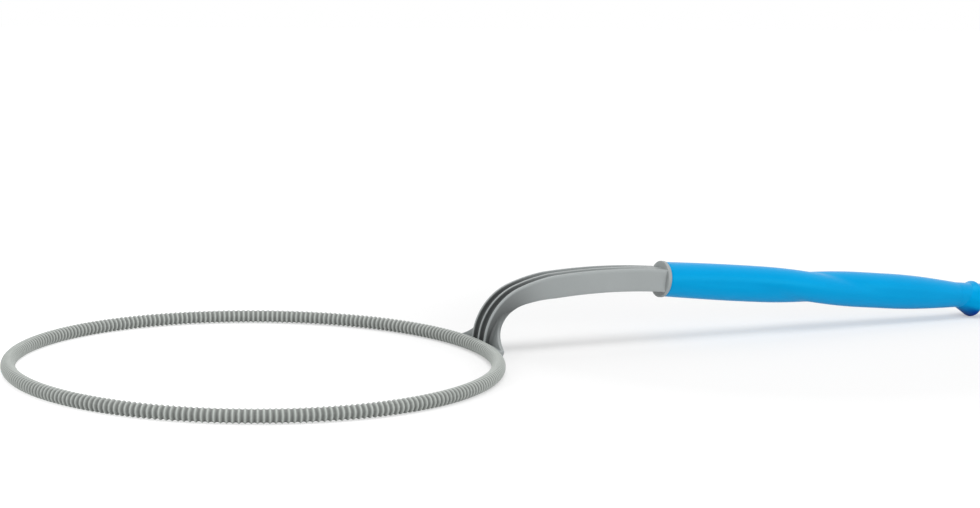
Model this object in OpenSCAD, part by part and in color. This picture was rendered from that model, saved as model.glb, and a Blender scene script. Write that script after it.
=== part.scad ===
// Giant bubble wand: a ribbed wetting hoop on an arched, fluted arm, plugged
// into a hollow two-shell grip that makes half a turn at its waist.
// The wand lies on its hoop and its pommel. Z = 0 is the ground, X runs from
// the hoop to the pommel, and the origin is under the middle of the wand.

/* [Wand] */
// Overall length, from the far edge of the hoop to the end of the pommel
wand_len = 648; // [600:0.5:700]
// Slope of the grip, down from the arm to the pommel, in degrees
grip_tilt = 5.5; // [4.6:0.1:6.4]

/* [Hoop] */
// Outside diameter of the hoop over its ribs
hoop_dia = 276; // [240:1:300]
// Thickness of the hoop's rod over its ribs
rod_dia = 8; // [7:0.1:9.5]
// Distance from rib to rib along the rod's middle line
rib_pitch = 3; // [3:0.1:6]
// Depth of the grooves between the ribs
rib_depth = 0.8; // [0.4:0.1:1.2]

/* [Arm] */
// Thickness of the arm where it stands on the hoop
arm_foot_t = 6.3; // [5.5:0.1:8]
// Thickness of the arm from its bend to the grip
arm_t = 13.5; // [12:0.1:14.5]
// Width of each of the three crests on the arm's outer face
crest_w = 1.6; // [1.2:0.1:2.4]
// Width of each of the two flutes between the crests
flute_w = 6.1; // [5:0.1:6.4]
// Depth of the flutes at the foot of the arm
flute_depth = 2.2; // [1:0.1:2.4]
// Wall of the arm round its hollow underside
arm_wall = 2.2; // [1.8:0.1:2.6]
// Slope of the arm where it rises from the hoop, in degrees
foot_slope = 81; // [78:0.5:86]
// Radius of the arm's sharp lower bend, as a share of the wand's length
foot_bend_share = 0.048; // [0.042:0.001:0.052]
// Radius of the arm's second, slower bend, as a share of the wand's length
mid_bend_share = 0.155; // [0.136:0.001:0.178]

/* [Saddle] */
// How far each wing of the saddle reaches along the hoop beside the arm
flare_reach = 20.5; // [15:0.5:26]
// Height in which the wing's curve falls to about a third
flare_fall = 6.8; // [5.6:0.1:9]
// Thickness of the wings, and half that of the shoe round the rod
saddle_t = 1.8; // [1.4:0.1:2.4]

/* [Grip] */
// Width of the grip, and its height at the waist
grip_w = 18.8; // [18:0.1:20.5]
// How much higher than wide the grip is at its two swells
grip_swell = 3.7; // [2:0.1:5]
// Distance from the pommel's rim to the waist of the grip
waist_dist = 128; // [120:0.5:136]
// Length over which the grip makes its half turn
twist_len = 110; // [90:1:120]
// Diameter of the neck between the grip and the pommel
neck_dia = 16.4; // [15:0.1:17.5]
// Length of the tapers at the two ends of the grip
taper_len = 54; // [46:1:62]
// Diameter of the mouth that takes the arm
mouth_dia = 21; // [20.5:0.1:22]
// Wall of the two grip shells
shell_wall = 2; // [1.6:0.1:2.4]

/* [Pommel] */
// Diameter of the pommel at its rim
pommel_dia = 23.4; // [22:0.1:26]
// How far the middle of the rim hangs below the middle line of the grip
pommel_drop = 2; // [1:0.1:2.6]
// Rounding radius of the pommel's rim
rim_round = 2; // [1.4:0.1:2.6]
// Distance from the pommel's rim to its flat end
nose_len = 12; // [10.5:0.1:14]
// Diameter of the flat end of the pommel
nose_dia = 10; // [8:0.1:12]

/* [Fasteners] */
// Shank diameter of the three grip screws
screw_dia = 2.6; // [2.4:0.1:3]
// Head diameter of the grip screws
screw_head_dia = 5.4; // [5:0.1:5.8]
// Running clearance between parts that plug together
fit_gap = 0.15; // [0.1:0.05:0.25]

/* [Hidden] */
GREY = [0.60, 0.63, 0.63];
DARK_GREY = [0.45, 0.49, 0.47];
BLUE = [0.0, 0.58, 0.84];
STEEL = [0.75, 0.76, 0.78];

// Overrun of every cut past the face that it leaves through
over = 1;
// Facets of the round shapes: large, middling and small ones
wide_facets = 180;
mid_facets = 64;
small_facets = 32;
rod_r = rod_dia / 2;
hoop_r = hoop_dia / 2 - rod_r;
hoop_x = -wand_len / 2 + hoop_dia / 2;
rib_count = round(2 * PI * hoop_r / rib_pitch);
rod_sides = 8;

// The pommel's rim rests on the ground, and its flat end closes the wand's length
rim_ring_r = pommel_dia / 2 - rim_round;
rim_z = (rim_ring_r + pommel_drop) * cos(grip_tilt) + rim_round;
rim_x = wand_len / 2 - nose_len * cos(grip_tilt) - nose_dia / 2 * sin(grip_tilt);

// Path of the arm in the XZ plane: a straight foot, then three arcs that meet
// smoothly, of which the last ends on the middle line of the grip
arm_w = 3 * crest_w + 2 * flute_w;
foot_bend_r = foot_bend_share * wand_len;
mid_bend_r = mid_bend_share * wand_len;
foot_offset = rod_r + 3 * saddle_t / 4;
foot_drop = 3 * rod_r / 4;
bend_steps = 14;
mid_steps = 4;
top_steps = 10;
bend_end_slope = 17;
mid_end_slope = 5.4;
foot_pt = [hoop_x + hoop_r + foot_offset, rod_dia];
bend_pt = arc_point(foot_pt, foot_bend_r, foot_slope, bend_end_slope);
mid_pt = arc_point(bend_pt, mid_bend_r, bend_end_slope, mid_end_slope);
axis_rise = tan(grip_tilt);
top_run_share = sin(mid_end_slope) + sin(grip_tilt);
top_rise_share = cos(grip_tilt) - cos(mid_end_slope);
top_bend_r = (rim_z + (rim_x - mid_pt[0]) * axis_rise - mid_pt[1])
    / (top_rise_share + top_run_share * axis_rise);
arm_end = arc_point(mid_pt, top_bend_r, mid_end_slope, -grip_tilt);

// Distances along the path at which its arcs end
bend_len = arc_len(foot_bend_r, foot_slope - bend_end_slope);
mid_len = bend_len + arc_len(mid_bend_r, bend_end_slope - mid_end_slope);
path_len = mid_len + arc_len(top_bend_r, mid_end_slope + grip_tilt);

// How far the arm's end is sunk in its collar
collar_bite = 0.6;
// How far the collar stands out past the mouth of the grip
collar_lip = 0.6;

// Points of the path as [x, z, slope, distance along it]. The first one lies
// past the foot, where the flutes' cut leaves the arm
arm_path = concat(
    [for (drop = [foot_drop + over, foot_drop])
        [foot_pt[0] - drop * cos(foot_slope), foot_pt[1] - drop * sin(foot_slope), foot_slope, -drop]],
    arc_points(foot_pt, foot_bend_r, foot_slope, bend_end_slope, 0, bend_steps),
    arc_points(bend_pt, mid_bend_r, bend_end_slope, mid_end_slope, bend_len, mid_steps),
    arc_points(mid_pt, top_bend_r, mid_end_slope, -grip_tilt, mid_len, top_steps),
    [[arm_end[0] + collar_bite * cos(grip_tilt), arm_end[1] - collar_bite * sin(grip_tilt),
        -grip_tilt, path_len + collar_bite]]
);
path_last = len(arm_path) - 1;

// Length of the path over which the arm thickens from its foot, and how much
// deeper the flutes would start if they faded all the way from the foot
swell_len = 1.8 * foot_bend_r;
flute_fade_share = 1.4;

// Heights over the path of the arm's outer face and of the floor of its flutes
crest_line = [for (p = arm_path) arm_half(p[3])];
floor_line = [for (p = arm_path) arm_half(p[3]) - flute_at(p[3])];

// Steps of the path that the saddle's wings follow, steps before the hollow
// starts, and steps from one web across the hollow to the next
wing_steps = 10;
hollow_steps = 9;
web_steps = 3;
web_count = 6;
trim_steps = 16;
wing_last = wing_steps + 1;
hollow_first = hollow_steps + 1;
wing_foot_z = 4 * rod_r / 3;
wing_top_z = arm_path[wing_last][1] - saddle_t / 2;
wing_tail = exp((wing_foot_z - wing_top_z) / flare_fall);
// How far the wings' back face lies inside the arm's, where they leave the arm
wing_sink = 0.3;

// Grip stations are measured from the pommel's rim towards the arm
grip_end = (rim_x - arm_end[0]) / cos(grip_tilt);
collar_t = 2.4;
grip_front = grip_end - collar_t - fit_gap;
neck_len = 14;
station_count = 46;
half_steps = 12;

// Rear tenon of the shells, which the pommel cap slips over
tenon_r = neck_dia / 2 - 1.25 * shell_wall;
tenon_len = 10;
socket_len = tenon_len + fit_gap;

// Tang of the arm inside the grip
tang_h = 12.4;
tang_w = 7;
tang_len = 52;
tang_tip = 4;
tang_eye_dist = 32;

// Ribs across the grip: one closes the neck and two cradle the tang
rib_t = 2;
cradle_stations = [grip_front - 3 * rib_t, grip_front - tang_len + tang_tip + 2 * rib_t];

// Screws and their bosses, at these distances from the pommel's rim
eye_station = grip_front - tang_eye_dist;
screw_stations = [neck_len + taper_len / 2, waist_dist, eye_station];
boss_wall = 1.6;
pilot_r = screw_dia / 2 + fit_gap / 3;
screw_hole_r = screw_dia / 2 + fit_gap;
head_hole_r = screw_head_dia / 2 + 2 * fit_gap;
near_boss_r = pilot_r + boss_wall;
far_boss_r = head_hole_r + boss_wall;
tang_eye_r = far_boss_r + fit_gap;
head_t = 1.9;
head_sink = 1.3;
head_seat = grip_w / 2 - head_t - head_sink;
screw_depth = 5;
screw_tip = screw_dia / 2;
pilot_depth = screw_depth + screw_tip / 2;
slot_w = 0.9;
slot_depth = 0.9;

// End of an arc that starts at p with slope a and turns down to slope b
function arc_point(p, r, a, b) = [p[0] + r * (sin(a) - sin(b)), p[1] + r * (cos(b) - cos(a))];

// Length of an arc of radius r that turns through the angle a
function arc_len(r, a) = r * a * PI / 180;

// Points along such an arc, without its end point
function arc_points(p, r, a, b, start, n) = [
    for (i = [0:n - 1])
        let (s = a + (b - a) * i / n, q = arc_point(p, r, a, s))
            [q[0], q[1], s, start + arc_len(r, a - s)]
];

// Half thickness of the arm at a distance l along its path
function arm_half(l) =
    (arm_foot_t + (arm_t - arm_foot_t) * min(1, max(0, l / swell_len))) / 2;

// Depth of the flutes at a distance l: full on the bend, fading to the grip
function flute_at(l) = flute_depth * min(1, flute_fade_share * (1 - l / path_len));

// Point beside the path: d above its middle line at station k
function beside(k, d) = [
    arm_path[k][0] - d * sin(arm_path[k][2]),
    arm_path[k][1] + d * cos(arm_path[k][2])
];

// Outline of a band of the arm between two lines of heights, which start at the
// points a and a + lag of its path and end at b
function band(a, b, upper, lower, lag = 0) = concat(
    [for (k = [a:b]) beside(k, upper[k])],
    [for (k = [b:-1:a + lag]) beside(k, lower[k])]
);

// Half width of the saddle's wings at a height z over the ground: a curve that
// falls from the full reach at the shoe to the arm's side at the wings' top
function wing_half(z) =
    arm_w / 2 + flare_reach * (exp(-max(0, z - wing_foot_z) / flare_fall) - wing_tail) / (1 - wing_tail);

// Share of the full swell at a station t of the grip, nought at its ends
function swell_share(t) =
    sin(90 * min(1, max(0, (t - neck_len) / taper_len)))
    * sin(90 * min(1, max(0, (grip_front - t) / taper_len)));

// Turn of the grip's long axis at a station, easing in and out of a half turn
function twist_at(t) =
    let (u = min(1, max(0, (t - waist_dist) / twist_len + 0.5)))
        180 * u * u * (3 - 2 * u);

// Half width of the grip's section away from the swells
function end_half(t) = t < waist_dist ? neck_dia / 2 : mouth_dia / 2;
function side_half(t) =
    end_half(t) + (grip_w / 2 - end_half(t)) * swell_share(t);

// Distance from the middle of a flat-sided oval to its edge, at an angle from
// its long axis: side is its half width, half_c half the distance of its arcs
function oval_r(angle, side, half_c) =
    let (c = abs(cos(angle)), s = abs(sin(angle)))
        s > 0 && side * c <= half_c * s
            ? side / s
            : half_c * c + sqrt(max(0, side * side - half_c * half_c * s * s));

// Point of the grip's skin, inset by a wall, at station t and angle psi from +Z
function grip_point(t, psi, inset) =
    let (r = oval_r(psi - twist_at(t), side_half(t), grip_swell / 2 * swell_share(t)) - inset)
        [-t, r * sin(psi), r * cos(psi)];

// Points of one closed, C-shaped section of a half shell on side 1 or -1
function shell_section(t, side) = concat(
    [for (i = [0:half_steps]) grip_point(t, side * 180 * i / half_steps, 0)],
    [for (i = [half_steps:-1:0]) grip_point(t, side * 180 * i / half_steps, shell_wall)]
);

// Radius of the screw bosses: wider in the far shell, which holds the heads
function boss_radius(side) = side < 0 ? near_boss_r : far_boss_r;

// How far a boss at station t reaches from the parting plane into the wall
function boss_reach(t) = norm(grip_point(t, 90, 3 * shell_wall / 4) + [t, 0, 0]);

// Frame of the grip: its X axis runs down the grip, from the rim at zero
module grip_frame() {
    translate([rim_x, 0, rim_z])
        rotate([0, grip_tilt, 0])
            children();
}

// Turns a shape that stands on Z so that it lies along the grip, towards the arm
module towards_arm(t) {
    translate([-t, 0, 0])
        rotate([0, -90, 0])
            children();
}

// Skin over a list of closed rings of n points each, with flat ends
module skin(rings, n, caps) {
    last = len(rings) - 1;
    points = [for (ring = rings) each ring];
    sides = [
        for (j = [0:last - 1], i = [0:n - 1])
            let (a = j * n + i, b = j * n + (i + 1) % n)
                each [[a, b, b + n], [a, b + n, a + n]]
    ];
    polyhedron(points = points, faces = concat(sides, caps), convexity = 8);
}

// Closed ribbed ring: crest and root sections take turns round the hoop
module ribbed_ring() {
    rings = 2 * rib_count;
    points = [
        for (j = [0:rings - 1])
            let (turn = 360 * j / rings, r = (rod_r - (j % 2) * rib_depth) / cos(180 / rod_sides))
                for (i = [0:rod_sides - 1])
                    let (a = 360 * (i + 0.5) / rod_sides, out = hoop_r + r * cos(a))
                        [out * cos(turn), out * sin(turn), rod_r + r * sin(a)]
    ];
    faces = [
        for (j = [0:rings - 1], i = [0:rod_sides - 1])
            let (k = (j + 1) % rings, m = (i + 1) % rod_sides,
                a = j * rod_sides + i, b = j * rod_sides + m,
                c = k * rod_sides + m, d = k * rod_sides + i)
                each [[a, b, c], [a, c, d]]
    ];
    polyhedron(points = points, faces = faces, convexity = 10);
}

module hoop() {
    color(DARK_GREY)
        translate([hoop_x, 0, 0])
            ribbed_ring();
}

// Solid slab of the arm between two faces of its outline
module arm_slab(points, width) {
    rotate([90, 0, 0])
        linear_extrude(height = width, center = true)
            polygon(points);
}

// Body of the arm, before its flutes and its hollow are cut
module arm_body() {
    arm_slab(band(1, path_last, crest_line, -crest_line), arm_w);
}

// The two flutes in the arm's outer face
module flutes() {
    open_line = [for (h = crest_line) h + over];
    for (side = [-1, 1])
        translate([0, side * (crest_w + flute_w) / 2, 0])
            arm_slab(band(0, path_last, open_line, floor_line), flute_w);
}

// Hollow of the arm's underside, from the bend to the collar
module underside_hollow() {
    roof_line = [for (h = floor_line) h - arm_wall];
    open_line = [for (h = crest_line) -h - over];
    arm_slab(band(hollow_first, path_last - 1, roof_line, open_line, 1), arm_w - 2 * arm_wall);
}

// Cross webs that stiffen the hollow
module webs() {
    web_t = arm_wall / 2;
    for (k = [for (i = [1:web_count]) hollow_first + i * web_steps])
        translate([arm_path[k][0], 0, arm_path[k][1]])
            rotate([0, -arm_path[k][2], 0])
                translate([-web_t / 2, web_t - arm_w / 2, -crest_line[k]])
                    cube([web_t, arm_w - 2 * web_t, crest_line[k] + floor_line[k] - web_t]);
}

// Winged saddle: the arm's back face spread round the hoop and trimmed to wings
module wings() {
    outer_line = [for (h = crest_line) wing_sink - h];
    inner_line = [for (h = outer_line) h + saddle_t];
    reach = asin((wing_half(0) + over) / hoop_r);
    trim = [
        for (i = [0:trim_steps])
            let (z = wing_top_z * i / trim_steps)
                [wing_half(z), z]
    ];
    intersection() {
        translate([hoop_x, 0, 0])
            rotate([0, 0, -reach])
                rotate_extrude(angle = 2 * reach, $fn = wide_facets)
                    translate([-hoop_x, 0])
                        union() {
                            polygon(band(1, wing_last, inner_line, outer_line));
                            shoe_section();
                        }
        translate([hoop_x + hoop_r - rod_r, 0, 0])
            rotate([90, 0, 90])
                linear_extrude(height = 4 * rod_dia)
                    polygon(concat(trim, [for (i = [trim_steps:-1:0]) [-trim[i][0], trim[i][1]]]));
    }
}

// Section of the shoe that hugs the outer side of the rod
module shoe_section() {
    intersection() {
        translate([hoop_x + hoop_r, rod_r])
            circle(r = rod_r + 2 * saddle_t, $fn = mid_facets);
        translate([hoop_x + hoop_r + rod_r / 2, rod_r / 3])
            square([rod_r + 2 * saddle_t, wing_foot_z - rod_r / 3]);
    }
}

// Space of the rod, with the gap that lets the saddle seat on it
module rod_space() {
    translate([hoop_x, 0, rod_r])
        rotate_extrude($fn = wide_facets)
            translate([hoop_r, 0])
                circle(r = rod_r + fit_gap, $fn = mid_facets);
}

// Collar and tang that plug into the mouth of the grip
module tang() {
    grip_frame() {
        towards_arm(grip_front + fit_gap)
            cylinder(r = mouth_dia / 2 + collar_lip, h = collar_t, $fn = mid_facets);
        difference() {
            translate([-grip_front - fit_gap - collar_bite, 0, 0])
                tang_bar();
            translate([-eye_station, 0, 0])
                rotate([90, 0, 0])
                    cylinder(r = tang_eye_r, h = tang_w + over, center = true, $fn = mid_facets);
        }
    }
}

// Bar of the tang with a tapered tip, seen from the side as one outline
module tang_bar() {
    reach = tang_len + collar_bite;
    half = tang_h / 2;
    rotate([90, 0, 0])
        linear_extrude(height = tang_w, center = true)
            polygon([
                [0, -half],
                [reach - tang_tip, -half],
                [reach, tang_tip / 2 - half],
                [reach, half - tang_tip / 2],
                [reach - tang_tip, half],
                [0, half]
            ]);
}

module arm() {
    color(GREY) {
        difference() {
            union() {
                difference() {
                    arm_body();
                    flutes();
                    underside_hollow();
                }
                webs();
                wings();
            }
            rod_space();
        }
        tang();
    }
}

// Bare half shell of the grip on side 1 or -1
module half_shell(side) {
    n = 2 * (half_steps + 1);
    step = (grip_front - neck_len) / station_count;
    rings = [
        for (j = [0:station_count])
            let (ring = shell_section(neck_len + j * step, side))
                side < 0 ? ring : [for (i = [n - 1:-1:0]) ring[i]]
    ];
    last = station_count * n;
    front_cap = [
        for (i = [0:half_steps - 1])
            each [[i, n - 2 - i, i + 1], [i, n - 1 - i, n - 2 - i]]
    ];
    back_cap = [for (f = front_cap) [f[0] + last, f[2] + last, f[1] + last]];
    skin(rings, n, concat(front_cap, back_cap));
}

// Half of a rib across the grip, which starts at station t
module half_rib(side, t) {
    outline = [
        for (i = [0:half_steps])
            grip_point(t, side * 180 * i / half_steps, shell_wall / 2)
    ];
    towards_arm(t)
        linear_extrude(height = rib_t)
            polygon([for (p = outline) [p[2], p[1]]]);
}

// Half of the round tenon behind the neck
module half_tenon(side) {
    towards_arm(neck_len - tenon_len)
        rotate([0, 0, side < 0 ? 180 : 0])
            rotate_extrude(angle = 180, $fn = mid_facets)
                translate([tenon_r - shell_wall, 0])
                    square([shell_wall, tenon_len + rib_t / 2]);
}

// Half shell with its ribs, its tenon and its screw bosses
module grip_shell(side) {
    grip_frame()
        difference() {
            union() {
                half_shell(side);
                half_rib(side, neck_len);
                half_tenon(side);
                difference() {
                    for (t = cradle_stations)
                        half_rib(side, t);
                    tang_space();
                }
                for (t = screw_stations)
                    across(side, t)
                        cylinder(r = boss_radius(side), h = boss_reach(t), $fn = small_facets);
            }
            screw_bores(side);
        }
}

// Turns a shape that stands on Z so that it points out to one side at station t
module across(side, t) {
    translate([-t, 0, 0])
        rotate([-90 * side, 0, 0])
            children();
}

// Slot for the tang, with its running gap
module tang_space() {
    translate([-grip_front - over, -tang_w / 2 - fit_gap, -tang_h / 2 - fit_gap])
        cube([tang_len + over + fit_gap, tang_w + 2 * fit_gap, tang_h + 2 * fit_gap]);
}

// Screw holes: blind pilots in the near shell, stepped holes in the far one
module screw_bores(side) {
    for (t = screw_stations)
        across(side, t)
            if (side < 0) {
                translate([0, 0, -over])
                    cylinder(r = pilot_r, h = pilot_depth + over, $fn = small_facets);
            } else {
                translate([0, 0, -over])
                    cylinder(r = screw_hole_r, h = grip_w, $fn = small_facets);
                translate([0, 0, head_seat])
                    cylinder(r = head_hole_r, h = grip_w, $fn = small_facets);
            }
}

module grip_shell_near() {
    color(BLUE)
        grip_shell(-1);
}

module grip_shell_far() {
    color(BLUE)
        grip_shell(1);
}

// Cap over the tenon: a round butt with a rim round it that hangs lower than it
module pommel_cap() {
    color(BLUE)
        grip_frame()
            rotate([0, 90, 0])
                difference() {
                    union() {
                        rotate_extrude($fn = wide_facets)
                            butt_section();
                        translate([pommel_drop, 0, 0])
                            rotate_extrude($fn = wide_facets)
                                rim_section();
                    }
                    translate([0, 0, -neck_len - over])
                        cylinder(r = tenon_r + fit_gap, h = socket_len + over, $fn = mid_facets);
                }
}

// Half section of the butt, as [radius, distance along the grip from the rim]
module butt_section() {
    curve_steps = 8;
    neck_r = neck_dia / 2;
    nose_r = nose_dia / 2;
    dome_len = 3 * nose_len / 8;
    polygon(concat(
        [[0, fit_gap - neck_len], [neck_r, fit_gap - neck_len]],
        [
            for (i = [0:curve_steps])
                let (u = 90 * i / curve_steps)
                    [nose_r + (neck_r - nose_r) * cos(u), nose_len - dome_len * (1 - sin(u))]
        ],
        [[0, nose_len]]
    ));
}

// Half section of the rim: a rounded crest between two cones that meet it smoothly
module rim_section() {
    back_z = rim_round - neck_len;
    back_slope = 27;
    front_z = 3 * nose_len / 4;
    front_slope = 36;
    back_crest = [rim_ring_r + rim_round * cos(back_slope), -rim_round * sin(back_slope)];
    front_crest = [rim_ring_r + rim_round * cos(front_slope), rim_round * sin(front_slope)];
    translate([rim_ring_r, 0])
        circle(r = rim_round, $fn = mid_facets);
    polygon([
        [0, back_z],
        [back_crest[0] - (back_crest[1] - back_z) * tan(back_slope), back_z],
        back_crest,
        [rim_ring_r, 0],
        front_crest,
        [front_crest[0] - (front_z - front_crest[1]) * tan(front_slope), front_z],
        [0, front_z]
    ]);
}

// Pan-head screw with a cross recess, its head's seat at zero and its tip down
module screw() {
    reach = head_seat + screw_depth;
    shank_r = screw_dia / 2;
    head_r = screw_head_dia / 2;
    difference() {
        rotate_extrude($fn = mid_facets)
            polygon([
                [0, -reach],
                [shank_r / 3, -reach],
                [shank_r, screw_tip - reach],
                [shank_r, 0],
                [head_r, 0],
                [head_r, head_t / 2],
                [head_r - head_t / 3, 7 * head_t / 8],
                [head_r / 2, head_t],
                [0, head_t]
            ]);
        for (turn = [0, 90])
            rotate([0, 0, turn])
                translate([-2 * head_r / 3, -slot_w / 2, head_t - slot_depth])
                    cube([4 * head_r / 3, slot_w, slot_depth + over]);
    }
}

module grip_screws() {
    color(STEEL)
        grip_frame()
            for (t = screw_stations)
                translate([0, head_seat, 0])
                    across(1, t)
                        screw();
}

hoop();
arm();
grip_shell_near();
grip_shell_far();
pommel_cap();
grip_screws();
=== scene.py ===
"""Giant bubble wand: ribbed wetting hoop, fluted arched arm and two-shell blue grip.

Sizes are in millimetres, as on a maker's drawing, and become metres in the
mesh. X runs along the wand from the hoop to the pommel, Z is up, and the floor
is at Z = 0.
"""

import logging
import math
from dataclasses import dataclass, field
from enum import Enum

import bmesh
import bpy
import numpy as np
from mathutils import Matrix, Vector


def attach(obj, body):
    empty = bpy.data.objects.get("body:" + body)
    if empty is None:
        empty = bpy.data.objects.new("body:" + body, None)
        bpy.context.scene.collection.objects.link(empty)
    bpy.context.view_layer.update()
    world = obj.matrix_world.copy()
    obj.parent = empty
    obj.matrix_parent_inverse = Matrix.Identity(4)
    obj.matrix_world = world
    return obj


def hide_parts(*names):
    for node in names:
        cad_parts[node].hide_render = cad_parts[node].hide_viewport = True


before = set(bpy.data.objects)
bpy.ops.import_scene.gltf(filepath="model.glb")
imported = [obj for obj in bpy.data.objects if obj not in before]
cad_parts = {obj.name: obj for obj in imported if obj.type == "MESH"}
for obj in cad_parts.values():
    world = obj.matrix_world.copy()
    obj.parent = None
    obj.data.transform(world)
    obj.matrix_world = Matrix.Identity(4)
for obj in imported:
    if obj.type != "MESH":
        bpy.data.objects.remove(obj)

LOG = logging.getLogger("bubble_wand")
MM = 0.001
TINY = 1e-6
WELD = 2e-6
GRAIN_HEIGHT = 0.0005
BODY = "root"
SHADE_ATTRIBUTE = "groove_depth"

Array = np.ndarray
Node = bpy.types.Node
Socket = bpy.types.NodeSocket
Piece = bpy.types.Object
Floats = tuple[float, ...]
Pair = tuple[float, float]
Triple = tuple[float, float, float]
Rgba = tuple[float, float, float, float]

UNIT: Pair = (0.0, 1.0)
WHITE: Triple = (1.0, 1.0, 1.0)


class Side(Enum):
    """The two halves of the grip, by the sign of their Y."""

    NEAR = -1
    FAR = 1


class Sheen(Enum):
    """Gloss of a moulded plastic, as the roughness of its surface."""

    SATIN = 0.44
    SEMI_GLOSS = 0.33


def smooth_step(u: Array) -> Array:
    """Ease from 0 to 1: 3u^2 - 2u^3 on u held between 0 and 1."""
    u = np.clip(u, 0.0, 1.0)
    return u * u * (3.0 - 2.0 * u)


def round_over(distance: Array, radius: float) -> Array:
    """Drop of a quarter-round edge at a distance from it.

    Formula: r - sqrt(r^2 - (r - d)^2) for d under r, and 0 past it.

    Args:
        distance: distances from the edge, in millimetres.
        radius: radius of the rounding, in millimetres.

    Returns:
        The drop at each distance, in millimetres.
    """
    reach = radius - np.clip(distance, 0.0, radius)
    return radius - np.sqrt(np.maximum(radius * radius - reach * reach, 0.0))


@dataclass
class Patch:
    """A grid of points in millimetres, whose rows are loops.

    The last row joins the first, or else a polygon closes each end. The hollow
    is the share of painted shade at each point, from 0 for none to 1 for the
    full shade tone, as one value or an array that fits the rows and columns.
    """

    points: Array
    wrap_rows: bool = False
    hollow: Array | float = 0.0

    def depths(self) -> Array:
        """Share of painted shade at each point, as a flat array."""
        return np.broadcast_to(self.hollow, self.points.shape[:2]).reshape(-1)

    def faces(self) -> list[list[int]]:
        """Quads between neighbouring points, and a polygon over each end of an open patch."""
        rows, columns = self.points.shape[:2]
        i = np.arange(rows if self.wrap_rows else rows - 1)[:, None]
        j = np.arange(columns)[None, :]
        down, along = (i + 1) % rows * columns, (j + 1) % columns
        corners = [i * columns + j, i * columns + along, down + along, down + j]
        faces = np.stack(corners, -1).reshape(-1, 4).tolist()
        if not self.wrap_rows:
            faces.append(list(range(columns))[::-1])
            faces.append(list(range((rows - 1) * columns, rows * columns)))
        return faces


def make_piece(name: str, patches: list[Patch], crease: float) -> Piece:
    """Join patches into one smooth-shaded mesh object at the origin.

    Args:
        name: name of the piece.
        patches: its surfaces.
        crease: angle in degrees past which an edge is drawn sharp.

    Returns:
        The new object, linked to the scene.
    """
    faces: list[list[int]] = []
    start = 0
    for patch in patches:
        faces += [[start + k for k in face] for face in patch.faces()]
        start += patch.points.shape[0] * patch.points.shape[1]
    points = np.concatenate([patch.points.reshape(-1, 3) * MM for patch in patches])
    mesh = bpy.data.meshes.new(name)
    mesh.from_pydata(points.tolist(), [], faces)
    # Share of painted shade per point; the plastics darken towards their shade tone by it.
    groove = mesh.attributes.new(SHADE_ATTRIBUTE, "FLOAT", "POINT")
    groove.data.foreach_set("value", np.concatenate([patch.depths() for patch in patches]))
    shape = bmesh.new()
    shape.from_mesh(mesh)
    bmesh.ops.remove_doubles(shape, verts=shape.verts, dist=WELD)
    bmesh.ops.recalc_face_normals(shape, faces=shape.faces)
    shape.to_mesh(mesh)
    shape.free()
    mesh.polygons.foreach_set("use_smooth", np.ones(len(mesh.polygons), dtype=bool))
    mesh.set_sharp_from_angle(angle=math.radians(crease))
    mesh.update()
    piece = bpy.data.objects.new(name, mesh)
    bpy.context.scene.collection.objects.link(piece)
    return piece


def revolve(radii: Array, heights: Array, sides: int) -> Array:
    """Points of a profile turned round the X axis.

    Formula: (height, radius sin a, radius cos a) for a from 0 to a full turn.

    Args:
        radii: radius at each point of the profile.
        heights: distance along X at each point of the profile.
        sides: number of points round the axis.

    Returns:
        Points of shape (profile points, sides, 3).
    """
    a = np.linspace(0.0, 2.0 * np.pi, sides, endpoint=False)[None, :]
    r, x = radii[:, None], heights[:, None]
    return np.stack([x + 0.0 * a, r * np.sin(a), r * np.cos(a)], -1)


@dataclass
class ShaderBuilder:
    """Short hand for adding and feeding nodes in one node tree."""

    tree: bpy.types.NodeTree

    def add(self, kind: str, inputs: dict | None = None, **settings: object) -> Node:
        """Add a node.

        Args:
            kind: type name of the node.
            inputs: what its inputs get, by name or index.
            settings: properties of the node.

        Returns:
            The new node.
        """
        node = self.tree.nodes.new(kind)
        for key, value in settings.items():
            setattr(node, key, value)
        self.feed(node, inputs or {})
        return node

    def feed(self, node: Node, inputs: dict) -> None:
        """Give a node's inputs an output to follow, or a value of their own."""
        for key, value in inputs.items():
            if isinstance(value, Socket):
                self.tree.links.new(value, node.inputs[key])
            else:
                node.inputs[key].default_value = value

    def math(self, operation: str, *terms: Socket | float) -> Socket:
        """Add a sum, product or the like of its terms, and return its output."""
        return self.add("ShaderNodeMath", dict(enumerate(terms)), operation=operation).outputs[0]

    def noise(self, place: Socket, scale: Socket | float, detail: float, rough: float) -> Socket:
        """Add a noise texture at a place, and return its value."""
        inputs = {"Vector": place, "Scale": scale, "Detail": detail, "Roughness": rough}
        return self.add("ShaderNodeTexNoise", inputs).outputs["Fac"]

    def spread(self, value: Socket, span: Pair = UNIT, onto: Pair = UNIT) -> Socket:
        """Map a span of values evenly onto another, held at its ends, and return the result."""
        ends = zip(("From Min", "From Max", "To Min", "To Max"), (*span, *onto))
        return self.add("ShaderNodeMapRange", {"Value": value, **dict(ends)}).outputs["Result"]

    def mix(self, share: Socket, first: Socket | Rgba, second: Socket | Rgba) -> Socket:
        """Mix two colours by the share of the second, and return the result."""
        inputs = {"Factor": share, "A": first, "B": second}
        return self.add("ShaderNodeMix", inputs, data_type="RGBA").outputs["Result"]


def opaque(tone: Triple) -> Rgba:
    """Colour of a tone with full alpha, as a colour socket takes it."""
    return (*tone, 1.0)


def start_material(name: str) -> tuple[bpy.types.Material, ShaderBuilder, Node]:
    """Start a material with nodes.

    Args:
        name: name of the material.

    Returns:
        The material, a builder for its nodes and its Principled BSDF.
    """
    material = bpy.data.materials.new(name)
    material.use_nodes = True
    tree = material.node_tree
    return material, ShaderBuilder(tree), tree.nodes["Principled BSDF"]


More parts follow.
